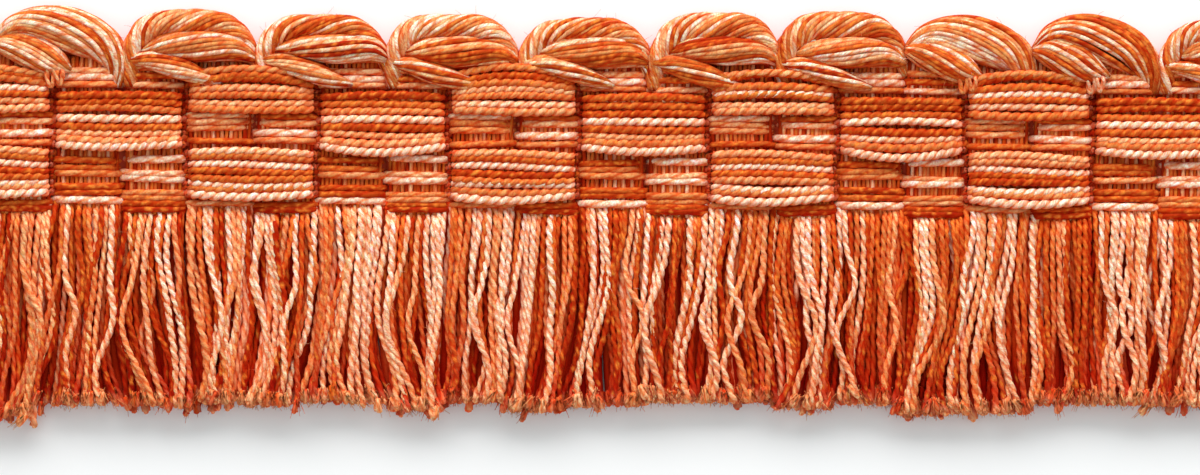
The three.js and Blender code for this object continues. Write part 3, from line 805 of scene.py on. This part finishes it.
# The layers of the fringe, front to back. A mix is the shares of the dyes, cream to brick. The lower layers
# take darker mixes as painted shade, each layer takes painted shade and a painted red glow by its depth,
# and the front and middle layers are painted a little lighter, as painted light.
LAYERS = [
    {"name": "front", "count": 12, "locks": 2, "loose": 1.0, "z": 3.05, "radius": 0.42, "step": 0.45,
     "sides": 6, "turn": 3.0, "flecks": 0.16, "painted_light": 1.08, "deep": 0.0,
     "mix": (0.21, 0.15, 0.15, 0.24, 0.20, 0.05)},
    {"name": "middle", "count": 11, "locks": 2, "loose": 0.6, "z": 2.1, "radius": 0.43, "step": 0.7,
     "sides": 6, "turn": 3.4, "flecks": 0.05, "painted_light": 1.08, "deep": 0.5,
     "mix": (0.08, 0.12, 0.18, 0.28, 0.28, 0.06)},
    {"name": "back", "count": 14, "locks": 2, "loose": 0.08, "z": 1.0, "radius": 0.57, "step": 1.4,
     "sides": 5, "turn": 9.0, "flecks": 0.0, "painted_light": 1.0, "deep": 1.0,
     "mix": (0.02, 0.04, 0.10, 0.28, 0.40, 0.16)},
]
# Painted shade: the lower layers are painted less green and blue and a little redder, standing in for shade
# and the red light that has passed the yarns above.
PAINTED_DEPTH_SHADE = np.array((1.08, 0.45, 0.3))  # the colour of light that has passed the yarns above
ROOT_UP = 1.6  # how far the yarns reach up into the ribs
ROOT_Z = 1.9
ROOT_LEVEL = {"left": 0.9, "right": 0.1}  # where the yarns come out below a rib
ROOT_RISE, RISE_LONG = 0.5, 2.0  # how they come forward from there
TUFT_ROOM, LENGTH_STRAY = 0.7, 0.35  # how much shorter than the fringe a yarn is
LONG_SHARE, LONG_BY = 0.04, (0.6, 1.3)  # how many yarns are left longer, and by how much
FAN_TOP, FAN_MORE = 0.97, 0.05  # the shares of a rib's width that its yarns spread over
CROWN, SWELL, SWELL_SPEED = 0.45, 0.3, (0.4, 1.1)
LAYER_STRAY = 0.18
CLEAR = 0.02  # between the yarns and the table
OWN_SWAY, OWN_SPEED, OWN_GROWTH = 0.15, (0.5, 1.7), 3
LOCK_SWAY, LOCK_SPEED, LOCK_GROWTH = 0.4, (0.55, 1.05), 2
LOCK_LIFT, LOCK_ASIDE = 0.2, 0.4
LEAN, LEAN_SPAN = 0.95, 29
SWING, SWING_SPAN, SWING_START, SWING_TURN = 0.85, 37, 1.0, 3.0
CURL, CURL_SPAN, CURL_TURN = 0.5, 15.5, 4.5
PINCH_PLACE, PINCH_WIDE, PINCH = 0.8, 0.16, 0.46
SIDE_STRAY = 0.2
SAME_DYE = 0.18  # how often a yarn has the dye of the yarn beside it
STRAY_SHARE, STRAY_DYES = 0.13, ("cream", "peach", "cream")
STRAY_OUT, STRAY_BEND, STRAY_UP = (0.4, 1.1), (0.3, 0.8), 0.5
STRAY_FROM, BEND_FROM, BEND_SPEED = 0.25, 0.4, (0.8, 1.3)
YARN_STOUT, PALE_STOUT = (0.84, 1.06), 1.12
FRAY, FRAY_FROM, FRAY_LONG = 0.2, 0.95, 0.05  # how much thicker a yarn is at its end
TURN_SHARE = (0.88, 1.1)
# Painted shade: the fringe is painted darker, mostly in green and blue, towards the cut, standing in for
# the shade among the lower fringe. The pale yarns take less of it.
PAINTED_CUT_SHADE, DEEPER_CURVE = np.array((0.36, 0.97, 0.97)), 2.2  # the loss of each colour near the cut
PALE_DEEPER = np.array((0.12, 0.42, 0.62))  # the same for the pale yarns
# Strengths of the painted side shade on the pale and on the dark fringe yarns.
PALE_PAINTED_BLEED, DARK_PAINTED_BLEED = 0.45, 0.92
CUT_LIGHT = np.array((0.98, 0.60, 0.31))  # the colour of the fibres where they are cut
CUT_FADE, FADE_FROM, FADE_LONG = (0.1, 0.7), 0.93, 0.07


def flow(x, share):
    """How far the fringe has swung aside: neighbours swing together, in long S curves."""
    lean = LEAN * share**2 * np.sin(2 * np.pi * x / LEAN_SPAN)
    swing = SWING * share * np.sin(2 * np.pi * x / SWING_SPAN + SWING_START + SWING_TURN * share)
    curl = CURL * np.sqrt(share) * np.sin(2 * np.pi * x / CURL_SPAN + CURL_TURN * share)
    return lean + swing + curl - SWING * share * math.sin(SWING_START)


def lock_of(layer):
    """One lock: how it sways on its way down, and how far it ends aside."""
    return {
        "sway": layer["loose"] * chance.normal(0, LOCK_SWAY),
        "speed": chance.uniform(*LOCK_SPEED),
        "phase": chance.uniform(0, 2 * np.pi),
        "lift": chance.normal(0, LOCK_LIFT),
        "aside": layer["loose"] * chance.normal(0, LOCK_ASIDE),
    }


def swayed(sway, speed, phase, share):
    """A wave aside that starts from nothing at the root."""
    return sway * (np.sin(2 * np.pi * speed * share + phase) - math.sin(phase))


def fringe_yarn(rib, length, layer, side, lock_side, lock, dye):
    """One hanging yarn. It leaves its rib at its side, drawn in to the middle of its lock."""
    width = rib["right"] - rib["left"]
    middle = crept((rib["left"] + rib["right"]) / 2)
    length = length - TUFT_ROOM - abs(chance.normal(0, LENGTH_STRAY))
    if chance.random() < LONG_SHARE:
        length = length + chance.uniform(*LONG_BY)
    y = np.linspace(ROOT_UP, -length, round((length + ROOT_UP) / layer["step"]))
    share = np.clip(-y / length, 0, 1)
    pinch = layer["loose"] * PINCH * np.exp(-(((share - PINCH_PLACE) / PINCH_WIDE) ** 2))
    own = layer["loose"] * chance.gamma(2.0, OWN_SWAY)
    speed, phase = chance.uniform(*OWN_SPEED), chance.uniform(0, 2 * np.pi)
    wave = swayed(own, speed, phase, share) * np.minimum(1, OWN_GROWTH * share)
    sway = swayed(lock["sway"], lock["speed"], lock["phase"], share)
    sway = sway * np.minimum(1, LOCK_GROWTH * share) + lock["aside"] * share**2
    x = middle + side * width * (FAN_TOP + FAN_MORE * share)
    x = x + flow(x, share) + (lock_side - side) * width * pinch + wave + sway
    crown = CROWN * (1 - (2 * side) ** 2) * (1 - share)
    swell = 2 * np.pi * chance.uniform(*SWELL_SPEED) * share + chance.uniform(*PHASES)
    swell = SWELL * np.sin(swell) * share
    out = np.clip((ROOT_LEVEL[rib["side"]] + ROOT_RISE - y) / RISE_LONG, 0, 1)
    lift = layer["z"] + lock["lift"] * share + crown + swell + chance.normal(0, LAYER_STRAY)
    z = ROOT_Z + (lift - ROOT_Z) * out
    if layer["name"] == "front" and chance.random() < STRAY_SHARE:
        loose = np.sin(np.pi * np.clip((share - STRAY_FROM) / (1 - STRAY_FROM), 0, 1))
        bend = np.clip((share - BEND_FROM) / (1 - BEND_FROM), 0, 1)
        bend = np.sin(2 * np.pi * chance.uniform(*BEND_SPEED) * bend)
        way = chance.choice((-1, 1))
        x = x + way * (chance.uniform(*STRAY_OUT) * loose + chance.uniform(*STRAY_BEND) * bend)
        z = z + STRAY_UP * np.sqrt(loose)
        dye = chance.choice(STRAY_DYES)
    z = np.maximum(z, layer["radius"] + CLEAR)
    pale = dye in ("cream", "peach")
    stout = PALE_STOUT if pale else 1.0
    fray = 1 + FRAY * np.clip((share - FRAY_FROM) / FRAY_LONG, 0, 1)
    radius = layer["radius"] * stout * chance.uniform(*YARN_STOUT) * fray
    fade = np.clip((share - FADE_FROM) / FADE_LONG, 0, 1) * chance.uniform(*CUT_FADE)
    fade = fade[:, None, None]
    # Painted shade towards the cut.
    deeper = PALE_DEEPER if pale else PAINTED_CUT_SHADE
    tones = ply_tones(dye, len(y)) * (1 - deeper * share[:, None, None] ** DEEPER_CURVE)
    # Painted light and painted shade of the layer.
    tones = tones * layer["painted_light"] * (1 + (PAINTED_DEPTH_SHADE - 1) * layer["deep"])
    tones = tones * (1 - fade) + CUT_LIGHT * fade
    path = np.c_[x, y + SEAM, z]
    turn = layer["turn"] * chance.uniform(*TURN_SHARE)
    painted_bleed = PALE_PAINTED_BLEED if pale else DARK_PAINTED_BLEED
    return spun(path, radius, turn, tones, sides=layer["sides"], painted_bleed=painted_bleed, flecks=layer["flecks"])


fringe_material = yarn_material("fringe_yarn", rough=0.5, streak=0.55)
deep_material = yarn_material("deep_fringe_yarn", rough=0.6, streak=0.42, glow=0.0)
fringe_pieces, fringe_yarns = [], {}
for layer in LAYERS:
    made = []
    for rib, length in zip(ribs, FRINGE_LENGTHS):
        locks = [lock_of(layer) for _ in range(layer["locks"])]
        shift = chance.uniform(-1.0, 1.0)  # where one lock ends and the next begins
        dye = "orange"
        for number in range(layer["count"]):
            side = (number + 0.5 + chance.normal(0, SIDE_STRAY)) / layer["count"] - 0.5
            place = int((number + 0.5 + shift) * layer["locks"] / layer["count"])
            place = min(max(place, 0), layer["locks"] - 1)
            lock_side = (place + 0.5) / layer["locks"] - 0.5
            if chance.random() > SAME_DYE:
                dye = chance.choice(DYE_ORDER, p=layer["mix"])
            made.append(fringe_yarn(rib, length, layer, side, lock_side, locks[place], dye))
    halves = 2 if layer["name"] == "front" else 1
    for half in range(halves):
        name = "fringe_" + layer["name"] + ("_" + "ab"[half] if halves == 2 else "")
        part = made[half * len(made) // halves : (half + 1) * len(made) // halves]
        material = fringe_material if layer["name"] == "front" else deep_material
        fringe_pieces.append(yarn_piece(name, part, material, "fringe_yarn", "brush_fringe"))
    fringe_yarns[layer["name"]] = made

# Cut ends: where the fringe is cut, each yarn opens into a soft blunt tuft, paler than the yarn, partly by
# the cut fibres' own colour and partly by painted light, and single fibres stand out of the tuft, so the
# lower edge is thick and ragged.
TUFT_RINGS = np.linspace(-1.7, 0.05, 5)  # along the yarn, from its end
TUFT_WIDE = np.array((0.9, 1.0, 1.1, 1.2, 0.95))
TUFT_PALE = np.array((0.0, 0.2, 0.5, 0.85, 1.0))
TUFT_RADIUS, TUFT_STRAY, TUFT_LEAN = (0.3, 0.44), (0.85, 1.1), 0.16
PALE_START, PALE_SWING, PALE_STRAY = 0.25, 0.65, 0.2  # how pale the tufts are, in turns along the trim
PALE_WAVE, PALE_DRIFT = 1.9, 5.3
# Partly the cut fibres' own paler colour and partly painted light: a tuft is painted lighter than its
# yarn's end, so the lower edge stays light beside the fringe's shade.
TUFT_PALE_AND_PAINTED_LIGHT = np.array((1.05, 1.15, 1.1))
TUFT_FIBRES = {"front": 12, "middle": 4, "back": 0}
TUFT_CORNERS, TUFT_RANK = 60, 90  # the paler of a yarn's last corners give its tuft's colour
# The first value is the strength of the painted side shade on the tufts.
TUFT_PAINTED_BLEED, TUFT_TURN = 0.5, 9.0
TUFT_LIGHT = (0.9, 1.1)
FIBRE_UP = 1.7  # how far above the cut a loose fibre leaves its yarn
FIBRE_LONG, FIBRE_SHARE = 2.0, (0.6, 1.1)
FIBRE_LIFT = 0.12  # the fibres lie at least this far above the table
FIBRE_SPREAD, FIBRE_APART = 0.3, 0.24
# The last value is the strength of the painted side shade on the loose fibres.
FIBRE_RADIUS, FIBRE_TURN, FIBRE_PAINTED_BLEED = 0.07, 3.0, 0.35
FIBRE_STEPS, FIBRE_THIN = np.array((0.0, 0.55, 1.0)), np.array((1.0, 0.9, 0.5))
FIBRE_TINT, FIBRE_LIGHT = np.array((1.08, 0.85, 0.66)), (0.85, 1.15)
tufts = []
for layer, yarns in fringe_yarns.items():
    for yarn in yarns:
        end = yarn["points"][-1]
        tone = np.percentile(yarn["colours"][-TUFT_CORNERS:-2], TUFT_RANK, axis=0) * TUFT_PALE_AND_PAINTED_LIGHT
        ahead = end - yarn["points"][-2 - 3 * yarn["sides"]]
        ahead /= np.linalg.norm(ahead)
        lean = chance.normal(0, TUFT_LEAN, 3) * (1.0, 0.0, 0.5)
        path = end + TUFT_RINGS[:, None] * ahead + (TUFT_RINGS[:, None] - TUFT_RINGS[0]) ** 2 * lean / 4
        radius = chance.uniform(*TUFT_RADIUS) * TUFT_WIDE * chance.uniform(*TUFT_STRAY, len(TUFT_WIDE))
        path[:, 2] = np.maximum(path[:, 2], radius + CLEAR)
        pale = 0.5 + 0.5 * math.sin(end[0] / PALE_WAVE + 2 * math.sin(end[0] / PALE_DRIFT))
        pale = np.clip(PALE_START + PALE_SWING * pale + chance.normal(0, PALE_STRAY), 0, 1)
        pale = TUFT_PALE[:, None] * pale
        light = tone * (1 - pale) + CUT_LIGHT * pale * chance.uniform(*TUFT_LIGHT)
        tones = np.repeat(light[:, None, :], 2, axis=1)
        tufts.append(spun(path, radius, TUFT_TURN, tones, sides=7, painted_bleed=TUFT_PAINTED_BLEED, flecks=0.0))
        for _ in range(TUFT_FIBRES[layer]):
            aim = ahead + chance.normal(0, FIBRE_SPREAD, 3) * (1.0, 0.2, 0.7)
            start = end - FIBRE_UP * ahead + chance.normal(0, FIBRE_APART, 3) * (1.0, 0.8, 0.6)
            start = start + (0, 0, FIBRE_LIFT)
            path = start + FIBRE_STEPS[:, None] * aim * FIBRE_LONG * chance.uniform(*FIBRE_SHARE)
            path[:, 2] = np.maximum(path[:, 2], FIBRE_LIFT)
            tones = light[-1] * FIBRE_TINT * chance.uniform(*FIBRE_LIGHT)
            tones = np.broadcast_to(np.clip(tones, 0, 1), (3, 2, 3))
            radius = FIBRE_RADIUS * FIBRE_THIN
            tufts.append(spun(path, radius, FIBRE_TURN, tones, sides=3, painted_bleed=FIBRE_PAINTED_BLEED, flecks=0.0))
cut_fibre = yarn_material("cut_fibre", rough=0.7, streak=0.35, glow=0.0)
cut_ends = yarn_piece("cut_ends", tufts, cut_fibre, "fringe_yarn")

# Stray fibres: the fine fuzz that stands off every spun yarn. It softens the outline of the
# scallops and the gaps between the yarns.
FUZZ_COUNT = 2900
FUZZ_DOWN = -0.3  # no fuzz stands where a yarn faces down more than this
FUZZ_RADIUS, FUZZ_THIN = 0.022, np.array((1.0, 0.9, 0.6))
FUZZ_ROOT = 0.05  # how deep in the yarn a fibre starts
FUZZ_SPREAD, FUZZ_CURL = 0.7, 0.35
FUZZ_LONG = (0.4, 1.5)
FUZZ_LOW, FUZZ_HIGH = 0.05, 5.6  # the fuzz stays between the table and just above the scallops
FUZZ_LIGHT, FUZZ_PALE = 1.15, 0.03
sources = long_yarns + short_yarns + 2 * scallop_yarns + fringe_yarns["front"]
fuzz = []
while len(fuzz) < FUZZ_COUNT:
    yarn = sources[chance.integers(len(sources))]
    corner = chance.integers(len(yarn["outward"]))
    outward = yarn["outward"][corner]
    if outward[2] < FUZZ_DOWN:
        continue
    aim = outward + chance.normal(0, FUZZ_SPREAD, 3)
    aim /= np.linalg.norm(aim)
    curl = chance.normal(0, FUZZ_CURL, 3)
    long = chance.uniform(*FUZZ_LONG)
    reach = np.array([0.0, 0.5, 1.0])[:, None]
    path = yarn["points"][corner] - FUZZ_ROOT * outward + long * (aim * reach + curl * reach**2)
    path[:, 2] = np.clip(path[:, 2], FUZZ_LOW, FUZZ_HIGH)
    tones = np.clip(yarn["colours"][corner] * FUZZ_LIGHT + FUZZ_PALE, 0, 1)
    tones = np.broadcast_to(tones, (3, 2, 3))
    fuzz.append(spun(path, FUZZ_RADIUS * FUZZ_THIN, FIBRE_TURN, tones, sides=3))
stray_fibres = yarn_piece("stray_fibres", fuzz, cut_fibre, "loop_yarn")
